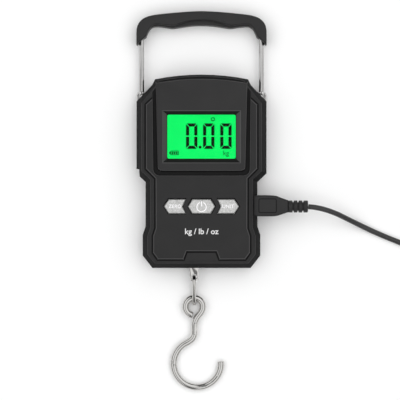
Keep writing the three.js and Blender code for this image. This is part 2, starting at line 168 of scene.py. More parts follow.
def moulded(name, shade, roughness, grain=0.35, depth=0.01, specular=0.3):
    """Moulded plastic: faint clouding, a fine grain and a few handling scuffs."""
    material, shader, start = new_finish(name, (shade, shade, shade), roughness)
    shader.inputs["Specular IOR Level"].default_value = specular
    place = start.node("TexCoord", out="Object")
    clouds = start.node("TexNoise", None, {"Vector": place, "Scale": 70.0, "Detail": 5.0})
    grit = start.node("TexNoise", None, {"Vector": place, "Scale": 1 / (grain * MM), "Detail": 3.0})
    along = start.node("Mapping", None, {"Vector": place, "Rotation": (0, 0, 0.5), "Scale": (1, 14, 1)})
    scuffs = start.node("TexNoise", None, {"Vector": along, "Scale": 220.0, "Detail": 6.0})
    scuffs = start.node("ValToRGB", {"stops": [(0.62, 0), (0.72, 1)]}, {0: scuffs * clouds * 2.1})
    dark = (shade * 0.88, shade * 0.88, shade * 0.9)
    light = (shade * 1.14, shade * 1.12, shade * 1.13)
    mixed(start, clouds * 0.7 + grit * 0.3, dark, light).feed(shader, "Base Color")
    (grit * 0.16 + (roughness - 0.08) - scuffs * 0.08).feed(shader, "Roughness")
    height = {"Strength": 0.7, "Distance": depth * MM, "Height": grit - scuffs * 0.25}
    start.node("Bump", None, height).feed(shader, "Normal")
    return material


casing_black = moulded("casing_black", 0.022, 0.55, specular=0.2)
# A lighter copy of the casing plastic, put on rounded edges and side-lit slopes as a painted highlight.
painted_highlight_finish = moulded("casing_painted_highlight", 0.06, 0.42)
# A darker, duller copy of the casing plastic, put on walls, grooves, pockets and wells as painted shade.
painted_shade_finish = moulded("casing_painted_shade", 0.012, 0.8, grain=0.6, depth=0.02, specular=0.08)

# Places of the painted highlight finish and the painted shade finish on a casing piece, and the slope below
# which a face is a wall.
EDGE, PAINTED_SHADE = 1, 2
UPRIGHT = 0.35


def pick(piece):
    """Makes a piece the active one and the only one selected."""
    bpy.ops.object.select_all(action="DESELECT")
    bpy.context.view_layer.objects.active = piece
    piece.select_set(True)


def edit(piece):
    """Opens one piece alone in edit mode."""
    pick(piece)
    bpy.ops.object.mode_set(mode="EDIT")
    bpy.ops.mesh.select_all(action="SELECT")


def close():
    bpy.ops.object.mode_set(mode="OBJECT")
    return bpy.context.object


def choose(kind, wanted):
    """Selects the faces or edges of the open piece that pass a test."""
    bpy.ops.mesh.select_mode(type=kind)
    bpy.ops.mesh.select_all(action="DESELECT")
    shape = bmesh.from_edit_mesh(bpy.context.edit_object.data)
    for part in shape.faces if kind == "FACE" else shape.edges:
        if wanted(part):
            part.select_set(True)
    bmesh.update_edit_mesh(bpy.context.edit_object.data)


def middle(part):
    """The middle of a face or an edge, in millimetres."""
    return sum((corner.co for corner in part.verts), Vector()) / len(part.verts) / MM


def weld(node, name, *finishes):
    """A copy of a solid as one closed mesh."""
    piece = bpy.data.objects.new(name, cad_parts[node].data.copy())
    scene.collection.objects.link(piece)
    piece.data.materials.clear()
    for finish in finishes:
        piece.data.materials.append(finish)
    edit(piece)
    bpy.ops.mesh.customdata_custom_splitnormals_clear()
    bpy.ops.mesh.remove_doubles(threshold=0.002 * MM)
    return close()


def paint(piece, finish, wanted):
    """Gives the faces that pass a test another of the piece's finishes."""
    edit(piece)
    choose("FACE", wanted)
    piece.active_material_index = finish
    bpy.ops.object.material_slot_assign()
    return close()


def ease(piece, width, steps=2, wanted=lambda edge: True, finish=-1):
    """Rounds the sharp outer edges that pass a test, with another finish on them if one is given."""
    edit(piece)
    bpy.ops.mesh.dissolve_limited(angle_limit=math.radians(0.6))
    choose("EDGE", lambda edge: edge.is_manifold and edge.calc_face_angle_signed() > 0.3 and wanted(edge))
    bpy.ops.mesh.bevel(offset=width * MM, segments=steps, material=finish, clamp_overlap=False)
    return close()


def rounded(width, height, radius, x=0.0, y=0.0, steps=5):
    """The outline of a rectangle with round corners."""
    outline = []
    for turn, (sx, sy) in enumerate(((1, 1), (-1, 1), (-1, -1), (1, -1))):
        for i in range(steps + 1):
            angle = math.pi / 2 * (turn + i / steps)
            outline.append((x + sx * (width / 2 - radius) + radius * math.cos(angle),
                            y + sy * (height / 2 - radius) + radius * math.sin(angle)))
    return outline


def plate(name, outline, low, high, *finishes):
    """A flat piece: a disc whose rim is drawn to the outline, then extruded upwards."""
    bpy.ops.object.select_all(action="DESELECT")
    bpy.ops.mesh.primitive_circle_add(vertices=len(outline), radius=MM, fill_type="NGON")
    piece = bpy.context.object
    piece.name = name
    for finish in finishes:
        piece.data.materials.append(finish)
    edit(piece)
    rim = bmesh.from_edit_mesh(piece.data).verts
    for corner, (x, y) in zip(rim, outline):
        corner.co = Vector((x, y, low)) * MM
    bpy.ops.mesh.extrude_region_move(TRANSFORM_OT_translate={"value": (0, 0, (high - low) * MM)})
    bpy.ops.mesh.select_all(action="SELECT")
    bpy.ops.mesh.normals_make_consistent(inside=False)
    return close()


def combine(piece, tool, operation="DIFFERENCE"):
    """Cuts one piece with another, or joins them, and uses the other up."""
    pick(piece)
    bpy.ops.object.modifier_add(type="BOOLEAN")
    modifier = piece.modifiers[-1]
    modifier.operation = operation
    modifier.object = tool
    modifier.solver = "EXACT"
    bpy.ops.object.modifier_apply(modifier=modifier.name)
    bpy.data.objects.remove(tool)
    return piece


def fit(piece, body, slot, *nodes, smooth=32):
    """Finishes a piece where it lies: it rides on a body and stands for the solids that it replaces."""
    pick(piece)
    bpy.ops.object.transform_apply(location=True, rotation=True, scale=True)
    bpy.ops.object.shade_smooth_by_angle(angle=math.radians(smooth))
    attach(piece, body)
    if nodes:
        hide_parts(*nodes)
    return piece


RECESS_DEPTH, BACK_RIM = 0.35, 1.7
rear = weld("rear_shell", "rear_casing", casing_black, painted_highlight_finish, painted_shade_finish)
# The walls get the painted shade finish.
paint(rear, PAINTED_SHADE, lambda face: abs(face.normal.z) < UPRIGHT)
combine(rear, plate("rating_recess", rounded(46, 28, 3, 0, 14), -1, RECESS_DEPTH))
# The rounded back rim gets the painted highlight finish.
ease(rear, 0.35, 2, lambda edge: middle(edge).z < BACK_RIM, finish=EDGE)
fit(rear, "casing", "black_casing", "rear_shell")


# ---------------------------------------------------------------- case screws
# Four pan-head self-tapping screws, zinc plated, with a cross recess. They come through wells in the back
# half and bite in the bosses of the front half.


def metal(name, colour, roughness, spread=0.1, depth=0.004, grain=(1, 1, 1), scale=900.0):
    """Bright metal: a slight tint that wanders, uneven polish and fine drawing or brushing marks."""
    material, shader, start = new_finish(name, colour, roughness, metallic=1.0)
    place = start.node("TexCoord", out="Object")
    along = start.node("Mapping", None, {"Vector": place, "Scale": grain})
    marks = start.node("TexNoise", None, {"Vector": along, "Scale": scale, "Detail": 4.0})
    clouds = start.node("TexNoise", None, {"Vector": place, "Scale": 130.0, "Detail": 3.0})
    dull = tuple(c * 0.84 for c in colour)
    mixed(start, clouds * 0.6 + marks * 0.4, colour, dull).feed(shader, "Base Color")
    (roughness - spread / 2 + spread * (marks * 0.6 + clouds * 0.4)).feed(shader, "Roughness")
    height = {"Strength": 0.4, "Distance": depth * MM, "Height": marks}
    start.node("Bump", None, height).feed(shader, "Normal")
    return material


zinc = metal("zinc_plate", (0.62, 0.63, 0.64), 0.3, spread=0.18)


def turned(name, profile, centre, axis, *finishes, steps=36):
    """A round piece: a ring of points, each (along the axis, radius), spun about the axis."""
    bpy.ops.object.select_all(action="DESELECT")
    bpy.ops.mesh.primitive_circle_add(vertices=len(profile), radius=MM)
    piece = bpy.context.object
    piece.name = name
    for finish in finishes:
        piece.data.materials.append(finish)
    axis = Vector(axis)
    out = axis.orthogonal().normalized()
    centre = Vector(centre) * MM
    edit(piece)
    for corner, (along, radius) in zip(bmesh.from_edit_mesh(piece.data).verts, profile):
        corner.co = centre + (axis * along + out * radius) * MM
    closing = centre / MM + axis * (profile[0][0] + profile[-1][0]) / 2
    if profile[0][1] == 0:
        choose("EDGE", lambda edge: (middle(edge) - closing).length < 1e-4)
        bpy.ops.mesh.delete(type="EDGE")
    bpy.ops.mesh.select_all(action="SELECT")
    bpy.ops.mesh.spin(steps=steps, angle=2 * math.pi, center=centre, axis=axis)
    bpy.ops.mesh.select_all(action="SELECT")
    bpy.ops.mesh.remove_doubles(threshold=0.002 * MM)
    bpy.ops.mesh.normals_make_consistent(inside=False)
    return close()


def copied(piece, name, shift):
    """A copy with its own mesh, moved by a distance in millimetres."""
    twin = bpy.data.objects.new(name, piece.data.copy())
    scene.collection.objects.link(twin)
    twin.data.transform(Matrix.Translation(Vector(shift) * MM))
    return twin


def box_of(node):
    """The lowest corner, the highest corner and the middle of a solid, in millimetres."""
    low, high = (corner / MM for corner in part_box(node))
    return low, high, (low + high) / 2


screw_profile = [(0.6, 0), (0.6, 1.9), (0.8, 2.4), (1.2, 2.6), (2.1, 2.6), (2.1, 1), (18.6, 1), (19.4, 0)]
CROSS_LENGTH, CROSS_WIDTH, CROSS_DEPTH = 3.8, 0.9, 1.5
first = box_of("case_screw_1")[2]
case_screw = turned("case_screw", screw_profile, (first.x, first.y, 0), (0, 0, 1), zinc)
for across, along in ((CROSS_LENGTH, CROSS_WIDTH), (CROSS_WIDTH, CROSS_LENGTH)):
    combine(case_screw, plate("recess", rounded(across, along, 0.1, first.x, first.y, 2), 0, CROSS_DEPTH))
for number in range(1, 5):
    place = box_of(f"case_screw_{number}")[2]
    screw = copied(case_screw, f"casing_screw_{number}", (place.x - first.x, place.y - first.y, 0))
    fit(screw, "casing", "plated_steel", f"case_screw_{number}")
bpy.data.objects.remove(case_screw)


# ---------------------------------------------------------------- casing, front half
# The front moulding: drafted sides, a sloping flank, and a raised field plate with a groove cut round its
# foot. Its rounded edges carry a painted highlight, and its walls, groove, pocket and key wells a painted
# shade.
# The keys stand in shallow wells, and the display panel in a pocket.

PARTING_Z, WALL_TOP, POCKET_FLOOR, LEDGE_Z, PLATE_FOOT_Z = 13.2, 24.6, 25.9, 26.4, 27.1
# The wells are wider than the keys and painted dark all round as painted shade, and moved up so that the
# painted shadow is widest above the keys.
WELL_RIM, WELL_FLOOR, WELL_SHADOW_SHIFT = 1.1, 26.2, 0.2
GROOVE_WIDTH, GROOVE_FOOT, GROOVE_HEAD = 0.9, -0.7, -0.3
KEYS_REACH, KEYS_Y, KEYS_RISE = 26, -2.2, 6.8
front = weld("front_shell", "front_casing", casing_black, painted_highlight_finish, painted_shade_finish)
# The walls and the pocket floor get the painted shade finish.
paint(front, PAINTED_SHADE, lambda face: abs(face.normal.z) < UPRIGHT)
paint(front, PAINTED_SHADE, lambda face: face.normal.z > 0.999 and abs(middle(face).z - POCKET_FLOOR) < 0.05)


def thicken(piece, thickness, side, even=False):
    """Makes a sheet solid."""
    pick(piece)
    bpy.ops.object.modifier_add(type="SOLIDIFY")
    modifier = piece.modifiers[-1]
    modifier.thickness = thickness * MM
    modifier.offset = side
    modifier.use_even_offset = even
    bpy.ops.object.modifier_apply(modifier=modifier.name)


def is_plate_wall(face):
    """True of the low upright wall round the foot of the raised plate."""
    heights = [corner.co.z / MM for corner in face.verts]
    upright = abs(face.normal.z) < 0.05
    return upright and abs(min(heights) - LEDGE_Z) < 0.03 and abs(max(heights) - PLATE_FOOT_Z) < 0.03


# The groove is cut with a copy of the plate's foot wall, which carries the painted shade finish, so the
# groove is painted dark as shade.
edit(front)
choose("FACE", is_plate_wall)
bpy.ops.mesh.duplicate()
bpy.ops.mesh.separate(type="SELECTED")
close()
groove = next(piece for piece in bpy.context.selected_objects if piece is not front)
edit(groove)
choose("EDGE", lambda edge: abs(middle(edge).z - LEDGE_Z) < 0.02)
bpy.ops.transform.translate(value=(0, 0, GROOVE_FOOT * MM))
choose("EDGE", lambda edge: abs(middle(edge).z - PLATE_FOOT_Z) < 0.02)
bpy.ops.transform.translate(value=(0, 0, GROOVE_HEAD * MM))
close()
thicken(groove, GROOVE_WIDTH, 1, even=True)
combine(front, groove)
for side in ("left", "middle", "right"):
    low, high, centre = box_of(f"key_{side}")
    well = weld(f"key_{side}", "key_well", casing_black, painted_highlight_finish, painted_shade_finish)
    # The well's faces get the painted shade finish, so the cut leaves a dark ring round the key.
    paint(well, PAINTED_SHADE, lambda face: True)
    edit(well)
    wider, taller, _ = (1 + 2 * WELL_RIM / length for length in high - low)
    bpy.ops.transform.resize(value=(wider, taller, 1), center_override=centre * MM)
    bpy.ops.transform.translate(value=(0, WELL_SHADOW_SHIFT * MM, 0))
    bpy.ops.mesh.bisect(plane_co=(0, 0, WELL_FLOOR * MM), plane_no=(0, 0, 1), use_fill=True, clear_inner=True)
    close()
    combine(front, well)


def is_open_edge(edge):
    """True of the edges that get the painted highlight, and not of the short ones or those round the keys."""
    x, y, height = middle(edge)
    beside_keys = abs(x) < KEYS_REACH and abs(y - KEYS_Y) < KEYS_RISE
    on_rim = PARTING_Z < height < WALL_TOP or height > PLATE_FOOT_Z + 0.2
    return on_rim and edge.calc_length() > 0.6 * MM and not beside_keys


# The long rim and plate edges are rounded and get the painted highlight finish.
ease(front, 0.22, 2, is_open_edge, finish=EDGE)
# The low walls and their rounded corners get the painted shade finish.
paint(front, PAINTED_SHADE, lambda face: abs(face.normal.z) < 0.6 and middle(face).z < WALL_TOP)
fit(front, "casing", "black_casing", "front_shell")


# ---------------------------------------------------------------- display panel
# A separate moulding let into the front, with a low arched top and a deep sloping frame round the screen.
# It has the same black plastic with a slightly finer grain, and it stands in its pocket with an even gap.

panel_black = moulded("panel_black", 0.025, 0.5, grain=0.28, specular=0.2)
panel = weld("display_panel", "screen_panel", panel_black, painted_highlight_finish, painted_shade_finish)
FRAME_X, FRAME_FOOT_Y, FRAME_HEAD_Y = 27.5, 24, 61.5
SIDE_X, SHOULDER_Y, PANEL_RIM = 27.8, 66, 26.3
LEVEL = 0.97
SIDE_FLARE = 1.02
panel_top = box_of("display_panel")[1].z


def is_frame_side(face):
    """True of the two upright slopes of the frame round the screen."""
    x, y, _ = middle(face)
    in_frame = abs(x) < FRAME_X and FRAME_FOOT_Y < y < FRAME_HEAD_Y and face.normal.z < LEVEL
    return in_frame and abs(face.normal.x) > 0.3


def is_side_edge(edge):
    """True of the panel's top edges along its two sides, below the shoulders."""
    x, y, z = middle(edge)
    return abs(x) > SIDE_X and y < SHOULDER_Y and z > panel_top - 0.1


edit(panel)
choose("EDGE", is_side_edge)
bpy.ops.transform.resize(value=(SIDE_FLARE, 1, 1), center_override=(0, 0, 0))
close()
# Painted light: the frame's side slopes get the painted highlight finish and every other slope the painted
# shade finish, as if lit from the sides.
paint(panel, PAINTED_SHADE, lambda face: face.normal.z < LEVEL and not is_frame_side(face))
paint(panel, EDGE, is_frame_side)
# The rounded top edges get the painted highlight finish.
ease(panel, 0.25, 2, lambda edge: middle(edge).z > PANEL_RIM and edge.calc_length() > 0.5 * MM, finish=EDGE)
fit(panel, "casing", "black_panel", "display_panel")


# ---------------------------------------------------------------- screen
# A clear acrylic pane over a liquid crystal glass that is lit green from behind. A black film masks the
# glass to the frame's opening, and the dark figures stand in the glass.


def refinish(node, material):
    """Gives a solid that stays a new finish."""
    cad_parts[node].data.materials.clear()
    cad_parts[node].data.materials.append(material)


clear, shader, start = new_finish("clear_acrylic", (0.01, 0.02, 0.01), 0.05)
place = start.node("TexCoord", out="Object")
smear = start.node("TexNoise", None, {"Vector": place, "Scale": 80.0, "Detail": 4.0})
(0.04 + smear * 0.06).feed(shader, "Alpha")
(0.03 + smear * 0.08).feed(shader, "Roughness")
refinish("display_window", clear)

lit, shader, start = new_finish("lit_display", (0.0, 0.05, 0.01), 0.5)
shader.inputs["Specular IOR Level"].default_value = 0.05
shader.inputs["Emission Strength"].default_value = 1.05
place = start.node("TexCoord", out="Object")
pools = start.node("TexNoise", None, {"Vector": place, "Scale": 45.0, "Detail": 2.0})
mixed(start, pools, (0.0, 0.96, 0.13), (0.003, 1.0, 0.16)).feed(shader, "Emission Color")
mixed(start, pools, (0.0, 0.03, 0.005), (0.0, 0.06, 0.01)).feed(shader, "Base Color")
refinish("display_glass", lit)

glass_top = box_of("display_glass")[1].z
SCREEN_Y = 42.75
film_black = moulded("film_black", 0.01, 0.6, grain=0.2)
film_outline, film_opening = rounded(50, 33, 0.5, 0, SCREEN_Y), rounded(45, 28.9, 1.1, 0, SCREEN_Y)
film = plate("display_film", film_outline, glass_top + 0.03, glass_top + 0.13, film_black)
combine(film, plate("film_opening", film_opening, glass_top - 1, glass_top + 1))
fit(film, "casing", "black_panel")

figure_dark, shader, start = new_finish("figure_dark", (0.001, 0.006, 0.002), 0.5)
shader.inputs["Specular IOR Level"].default_value = 0.05
place = start.node("TexCoord", out="Object")
dots = start.node("TexNoise", None, {"Vector": place, "Scale": 3000.0})
mixed(start, dots, (0.0, 0.004, 0.001), (0.002, 0.02, 0.006)).feed(shader, "Base Color")

DIGIT = (7.5, 16.8)
DIGIT_FOOT, DIGIT_LEFTS = 34.7, (-10.2, 1.0, 12.3)
STROKE, GAP = 2.1, 0.35
BATTERY = (-17.7, 32.1)
STABLE_SIGN = (7.5, 54.2)
figure_z = glass_top + 0.02
figure_top = figure_z + 0.06


def bars_of_zero(left, bottom):
    """The six bars of a nought: a level bar and an upright bar, mirrored to each place."""
    half, rise = DIGIT[0] / 2, DIGIT[1] / 2
    level = [(-half + 1.6 * GAP, rise), (half - 1.6 * GAP, rise), (half - STROKE, rise - STROKE),
             (-half + STROKE, rise - STROKE)]
    upright = [(half, rise - 1.6 * GAP), (half, 1.4 * GAP), (half - STROKE * 0.6, GAP),
               (half - STROKE, 1.6 * GAP), (half - STROKE, rise - STROKE - GAP)]
    corners = ((1, 1), (1, -1), (-1, 1), (-1, -1))
    bars = []
    for outline, flips in ((level, corners[:2]), (upright, corners)):
        for flip_x, flip_y in flips:
            line = [(left + half + flip_x * x, bottom + rise + flip_y * y) for x, y in outline]
            bars.append(plate("bar", line, figure_z, figure_top))
    return bars


def lettering(name, words, size, x, y, z, thick, finish, spacing=1.0, weight=0.0):
    """Printed characters as a thin mesh, centred on a point."""
    bpy.ops.object.text_add()
    text = bpy.context.object
    text.name = name
    text.data.body = words
    text.data.size = size * MM
    text.data.space_character = spacing
    text.data.align_x = text.data.align_y = "CENTER"
    text.data.extrude = thick / 2 * MM
    text.data.offset = weight * MM
    text.data.resolution_u = 4
    bpy.ops.object.convert(target="MESH")
    text = bpy.context.object
    text.data.materials.append(finish)
    text.location = Vector((x, y, z + thick / 2)) * MM
    edit(text)
    bpy.ops.mesh.remove_doubles(threshold=0.001 * MM)
    return close()


def framed(name, outer, inner, low, high, finish):
    """A flat ring between two outlines."""
    return combine(plate(name, outer, low, high, finish), plate("inside", inner, low - 1, high + 1))


def joined(pieces, name):
    """Several pieces as one mesh."""
    bpy.ops.object.select_all(action="DESELECT")
    for piece in pieces:
        piece.select_set(True)
    bpy.context.view_layer.objects.active = pieces[0]
    bpy.ops.object.transform_apply(location=True, rotation=True, scale=True)
    bpy.ops.object.join()
    pieces[0].name = name
    return pieces[0]


def circle(radius, x, y, sides=40):
    """The outline of a circle."""
    return [(x + radius * math.cos(2 * math.pi * i / sides), y + radius * math.sin(2 * math.pi * i / sides))
            for i in range(sides)]


figures = [piece for left in DIGIT_LEFTS for piece in bars_of_zero(left, DIGIT_FOOT)]
figures.append(plate("point", circle(0.95, -0.95, 35.85, 24), figure_z, figure_top))
figures.append(framed("stable_ring", circle(1.3, *STABLE_SIGN), circle(0.8, *STABLE_SIGN),
                      figure_z, figure_top, figure_dark))
figures.append(framed("battery", rounded(5.4, 2.8, 0.4, *BATTERY), rounded(4.6, 2.0, 0.2, *BATTERY),
                      figure_z, figure_top, figure_dark))
battery_x, battery_y = BATTERY
figures.append(plate("battery_tip", rounded(0.7, 1.4, 0.2, battery_x - 3.1, battery_y), figure_z, figure_top))
for i in range(3):
    charge = rounded(1.0, 1.5, 0.1, battery_x - 1.4 + 1.4 * i, battery_y)
    figures.append(plate("charge", charge, figure_z, figure_top))
figures.append(lettering("unit_sign", "kg", 4.4, 16.1, 31.8, figure_z, 0.06, figure_dark))
for piece in figures:
    piece.data.materials.clear()
    piece.data.materials.append(figure_dark)
fit(joined(figures, "display_figures"), "casing", "black_panel")


# ---------------------------------------------------------------- keys
# Three hard plastic keys sprayed silver, a hexagon between two arrowheads, with a flange behind the front.
# Their marks are moulded a hair proud and come out lighter.

silver, shader, start = new_finish("key_silver", (0.55, 0.55, 0.54), 0.45, metallic=0.2)
place = start.node("TexCoord", out="Object")
flake = start.node("TexVoronoi", None, {"Vector": place, "Scale": 1500.0}, out=1)
cloud = start.node("TexNoise", None, {"Vector": place, "Scale": 260.0, "Detail": 4.0})
flake_grey = start.node("RGBToBW", None, {0: flake})
mixed(start, flake_grey * 0.6 + cloud * 0.4, (0.3, 0.3, 0.295), (0.7, 0.7, 0.69)).feed(shader, "Base Color")
(0.34 + 0.18 * cloud).feed(shader, "Roughness")
height = {"Strength": 0.4, "Distance": 0.006 * MM, "Height": flake_grey}
start.node("Bump", None, height).feed(shader, "Normal")
mark_light = moulded("key_mark_light", 0.85, 0.4, grain=0.2, depth=0.004)

RING_OUTSIDE, RING_INSIDE, RING_DROP = 3.4, 2.75, 0.3
WORD_SIZE, MARK_HEIGHT = 3.2, 0.11
mark_low = box_of("key_middle")[1].z - 0.02
mark_high = mark_low + MARK_HEIGHT


def power_sign(x, y):
    """A ring, open at the top, with a short bar in the gap."""
    ring_y = y - RING_DROP
    sign = framed("middle_key_mark", circle(RING_OUTSIDE, x, ring_y), circle(RING_INSIDE, x, ring_y),
                  mark_low, mark_high, mark_light)
    combine(sign, plate("ring_gap", rounded(2.4, 4, 0.1, x, y + 3, 1), mark_low - 1, mark_high + 1))
    bar = plate("stem", rounded(0.75, 3.4, 0.3, x, y + 1.7, 3), mark_low, mark_high, mark_light)
    return combine(sign, bar, "UNION")


for side, word in (("left", "ZERO"), ("middle", ""), ("right", "UNIT")):
    key = weld(f"key_{side}", f"{side}_key", silver)
    ease(key, 0.16, 2, lambda edge: middle(edge).z > PLATE_FOOT_Z)
    fit(key, f"key_{side}", "silver_key", f"key_{side}")
    x, y = box_of(f"key_{side}")[2].xy
    if word:
        mark = lettering(f"{side}_key_mark", word, WORD_SIZE, x, y, mark_low, MARK_HEIGHT, mark_light,
                         spacing=1.05, weight=0.05)
    else:
        mark = power_sign(x, y)
    fit(mark, f"key_{side}", "silver_key")


# ---------------------------------------------------------------- printed units
# The units that the scale can show, screen printed in white ink under the keys.

ink, shader, start = new_finish("white_ink", (0.7, 0.7, 0.7), 0.5)
place = start.node("TexCoord", out="Object")
speck = start.node("TexNoise", None, {"Vector": place, "Scale": 2400.0, "Detail": 2.0})
mixed(start, speck, (0.55, 0.55, 0.55), (0.88, 0.88, 0.88)).feed(shader, "Base Color")
UNITS_SIZE, UNITS_Y = 5.2, -19.7
field_z = box_of("front_shell")[1].z
units = lettering("printed_units", "kg / lb / oz", UNITS_SIZE, 0, UNITS_Y, field_z - 0.01, 0.04, ink,
                  weight=0.08)
fit(units, "casing", "black_casing")


# ---------------------------------------------------------------- works inside the casing
# Board, battery, load cell and reel. They are closed in by the casing, and keep the shape of their solids
# with the finish that each real part has.

board, shader, start = new_finish("board_green", (0.02, 0.16, 0.06), 0.4)
place = start.node("TexCoord", out="Object")
tracks = start.node("TexBrick", {"offset": 0.5}, {"Vector": place, "Scale": 160.0, "Mortar Size": 0.05,
                    "Color1": (0.015, 0.13, 0.05, 1), "Color2": (0.02, 0.17, 0.06, 1),
                    "Mortar": (0.05, 0.3, 0.12, 1)})
tracks.feed(shader, "Base Color")
start.node("Bump", None, {"Strength": 0.5, "Distance": 0.03 * MM, "Height": tracks}).feed(shader, "Normal")

steel = metal("rolled_steel", (0.56, 0.57, 0.57), 0.32, spread=0.16, grain=(1, 0.06, 1))
aluminium = metal("milled_aluminium", (0.76, 0.77, 0.78), 0.36, spread=0.14, grain=(0.06, 1, 1))
spring_blue = metal("spring_steel", (0.26, 0.3, 0.36), 0.28, spread=0.14)
white_plastic = moulded("white_acetal", 0.72, 0.45)
wrap = moulded("battery_wrap", 0.28, 0.35, grain=0.8)
gauge = moulded("gauge_film", 0.4, 0.4, grain=0.5)
inside = {
    "backlight": white_plastic, "circuit_board": board, "battery_cell": wrap, "strain_gauge": gauge,
    "radio_module": steel, "pivot_rod": steel, "load_hanger": steel, "load_cell": aluminium,
    "tape_reel": white_plastic, "tape_spring": spring_blue, "tape_axle": steel, "usb_socket": steel,
    "switch_left": steel, "switch_middle": steel, "switch_right": steel,
    "cell_screw_1": zinc, "cell_screw_2": zinc, "cell_screw_3": zinc, "cell_screw_4": zinc,
}
for node, material in inside.items():
    refinish(node, material)


# ---------------------------------------------------------------- bail handle
# A bail bent from bright plated steel rod. Its legs end in eyes that turn on the ends of the pivot rod,
# outside the shoulders, and a domed cap is pressed on each end.

chrome = metal("bright_chrome", (0.68, 0.675, 0.67), 0.1, spread=0.08, depth=0.002, grain=(1, 0.1, 1))


def wire(name, points, radius, finish, closed=False, facets=5):
    """A round wire along a line of points, in millimetres, made a mesh with closed ends."""
    bpy.ops.object.select_all(action="DESELECT")
    bpy.ops.curve.primitive_bezier_curve_add()
    rod = bpy.context.object
    rod.name = name
    rod.data.splines.clear()
    line = rod.data.splines.new("POLY")
    line.points.add(len(points) - 1)
    for knot, point in zip(line.points, points):
        knot.co = (*(Vector(point) * MM), 1)
    line.use_cyclic_u = closed
    rod.data.bevel_depth = radius * MM
    rod.data.bevel_resolution = facets
    rod.data.use_fill_caps = not closed
    bpy.ops.object.convert(target="MESH")
    rod = bpy.context.object
    rod.data.materials.clear()
    rod.data.materials.append(finish)
    edit(rod)
    bpy.ops.mesh.remove_doubles(threshold=0.001 * MM)
    bpy.ops.mesh.normals_make_consistent(inside=False)
    return close()


def arc(x, y, radius, begin, end, steps):
    """Points along a circle, angles in degrees."""
    turns = [math.radians(begin + (end - begin) * i / steps) for i in range(steps + 1)]
    return [(x + radius * math.cos(turn), y + radius * math.sin(turn)) for turn in turns]


pivot_y, pivot_z = box_of("pivot_rod")[2].yz
RAIL_X, RAIL_RADIUS, EYE_RADIUS = 39.9, 1.75, 3.5
BAR_Y, BAR_BEND = 121, 9
bar_start, corner_y = RAIL_X - BAR_BEND, BAR_Y - BAR_BEND


def bail(name, radius):
    """The bent rod of the bail, or with a larger radius the channel that it runs in."""
    bends = arc(bar_start, corner_y, BAR_BEND, 0, 90, 16) + arc(-bar_start, corner_y, BAR_BEND, 90, 180, 16)
    line = [(RAIL_X, pivot_y + EYE_RADIUS), (RAIL_X, corner_y - 1), *bends, (-RAIL_X, corner_y - 1),
            (-RAIL_X, pivot_y + EYE_RADIUS)]
    return wire(name, [(x, y, pivot_z) for x, y in line], radius, chrome, facets=6)


handle = bail("bail_handle", RAIL_RADIUS)
for side in (-1, 1):
    bpy.ops.mesh.primitive_torus_add(
        major_radius=EYE_RADIUS * MM, minor_radius=RAIL_RADIUS * MM, major_segments=40, minor_segments=18,
        rotation=(0, math.pi / 2, 0), location=Vector((side * RAIL_X, pivot_y, pivot_z)) * MM)
    combine(handle, bpy.context.object, "UNION")
fit(handle, "handle", "bright_metal", "handle_wire")

dome = [(0, 0), (0, 4.1), (0.25, 4.4), (0.55, 4.35), (0.95, 4.0), (1.35, 3.3), (1.7, 2.2), (1.9, 1.1),
        (1.95, 0)]
for name, side in (("left", -1), ("right", 1)):
    low, high, _ = box_of(f"pivot_cap_{name}")
    base = high.x if side < 0 else low.x
    cap = turned(f"{name}_pivot_cap", dome, (base, pivot_y, pivot_z), (side, 0, 0), chrome)
    fit(cap, "casing", "bright_metal", f"pivot_cap_{name}", smooth=50)


# ---------------------------------------------------------------- hand grip
# Two black mouldings close round the bail's crossbar. The outline is a low arch with a hooked end on each
# leg, and the front is scooped along a wave where the fingers pull.

grip_black = moulded("grip_black", 0.024, 0.5, grain=0.5, depth=0.012, specular=0.2)


def smooth_line(points, steps=5):
    """Points along a soft curve through some points."""
    line = []
    for i in range(len(points) - 1):
        before, here = Vector(points[max(i - 1, 0)]), Vector(points[i])
        there, after = Vector(points[i + 1]), Vector(points[min(i + 2, len(points) - 1)])
        slope = there - before
        curve = 2 * before - 5 * here + 4 * there - after
        twist = 3 * here - before - 3 * there + after
        for step in range(steps):
            t = step / steps
            line.append(0.5 * (2 * here + slope * t + curve * t * t + twist * t ** 3))
    return [tuple(point) for point in line] + [tuple(points[-1])]


def both_sides(half):
    """A line from its right end through the middle to its left end."""
    return half + [(-x, y) for x, y in reversed(half[:-1])]


grip_top = both_sides([(43.2, 104.2), (43.2, 112.5), (42.7, 116), (41.3, 119), (38.6, 121.5), (34.5, 123.2),
                       (28.3, 124.3), (15.2, 125.6), (0, 126.4)])
grip_foot = both_sides([(36.8, 109.6), (35.5, 112.8), (33.9, 115.2), (30.9, 116.6), (25, 116.2),
                        (19.3, 115.4), (13.5, 116.2), (7, 117.1), (0, 117.4)])
grip_outline = smooth_line(grip_top) + smooth_line(grip_foot)[::-1]
scoop = both_sides([(34.9, 113.4), (33.4, 116), (30.4, 117.6), (25, 117.2), (19.3, 116.6), (15.2, 117.7),
                    (10.6, 119.1), (6, 120), (0, 120.4)])
scoop_outline = smooth_line(scoop) + [(-34.9, 112), (34.9, 112)]
SCOOP_Z, GRIP_ROUND, CHANNEL_PLAY = 11, 1.1, 0.3

for name in ("back", "front"):
    low, high = (corner.z for corner in box_of(f"grip_{name}")[:2])
    outside = low if name == "back" else high
    grip = plate(f"{name}_grip", grip_outline, low, high, grip_black)
    if name == "front":
        combine(grip, plate("scoop", scoop_outline, SCOOP_Z, high + 1))
    ease(grip, GRIP_ROUND, 4, lambda edge: abs(middle(edge).z - outside) < 0.01)
    combine(grip, bail("channel", RAIL_RADIUS + CHANNEL_PLAY))
    fit(grip, "handle", "black_grip", f"grip_{name}")


